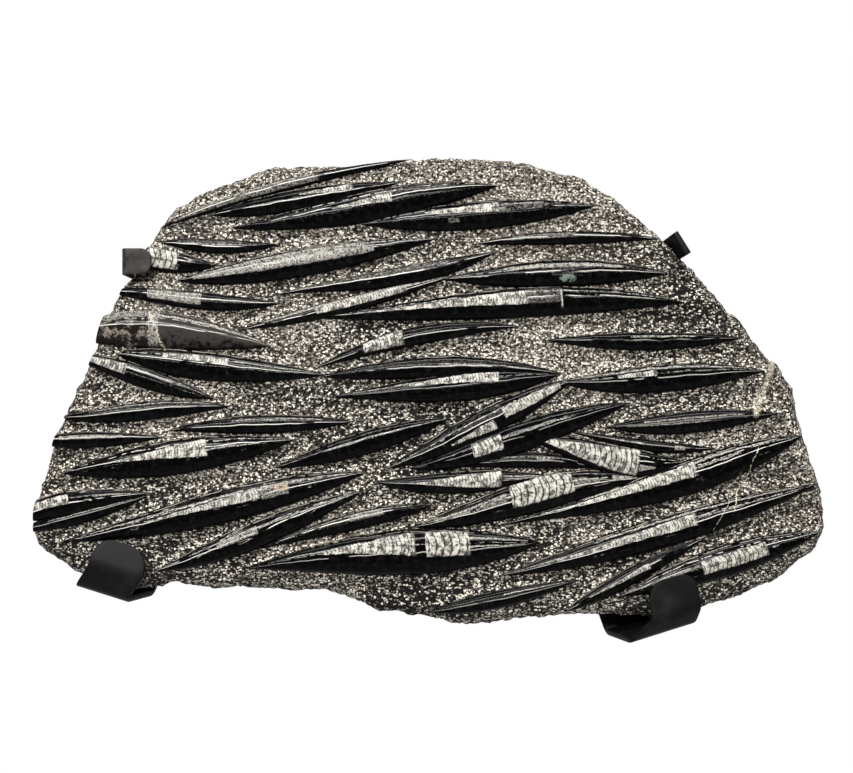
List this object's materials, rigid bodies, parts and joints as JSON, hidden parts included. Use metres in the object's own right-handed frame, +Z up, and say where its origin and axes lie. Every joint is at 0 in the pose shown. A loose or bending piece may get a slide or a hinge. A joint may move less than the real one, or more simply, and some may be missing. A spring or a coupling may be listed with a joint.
{
  "type": "orthoceras fossil slab in a wall bracket",
  "caption": "Broad slab of dark limestone packed with polished orthoceras shells, resting in a bent flat-bar wall bracket with lipped hooks and edge clips.",
  "frame": {"origin": "centre of the wall bar's back face, on the wall", "axes": "+Z up, +Y into the wall, +X to the right of someone who faces the stone"},
  "size_m": [0.6, 0.064, 0.3686],
  "materials": {
    "fossil_limestone": "polished black shells in a rough pecked matrix",
    "black_steel": "satin black powder coat",
    "bolt_steel": "blackened"
  },
  "bodies": {
    "root": {"fossil_slab": "fossil_limestone", "wall_bar": "black_steel", "lower_left_hook": "black_steel", "lower_right_hook": "black_steel", "upper_left_clip": "black_steel", "upper_right_clip": "black_steel", "left_bar_bolt_upper": "bolt_steel", "left_bar_bolt_lower": "bolt_steel", "right_bar_bolt_upper": "bolt_steel", "right_bar_bolt_lower": "bolt_steel", "left_clip_bolt_outer": "bolt_steel", "left_clip_bolt_inner": "bolt_steel", "right_clip_bolt_outer": "bolt_steel", "right_clip_bolt_inner": "bolt_steel"}
  },
  "joints": []
}
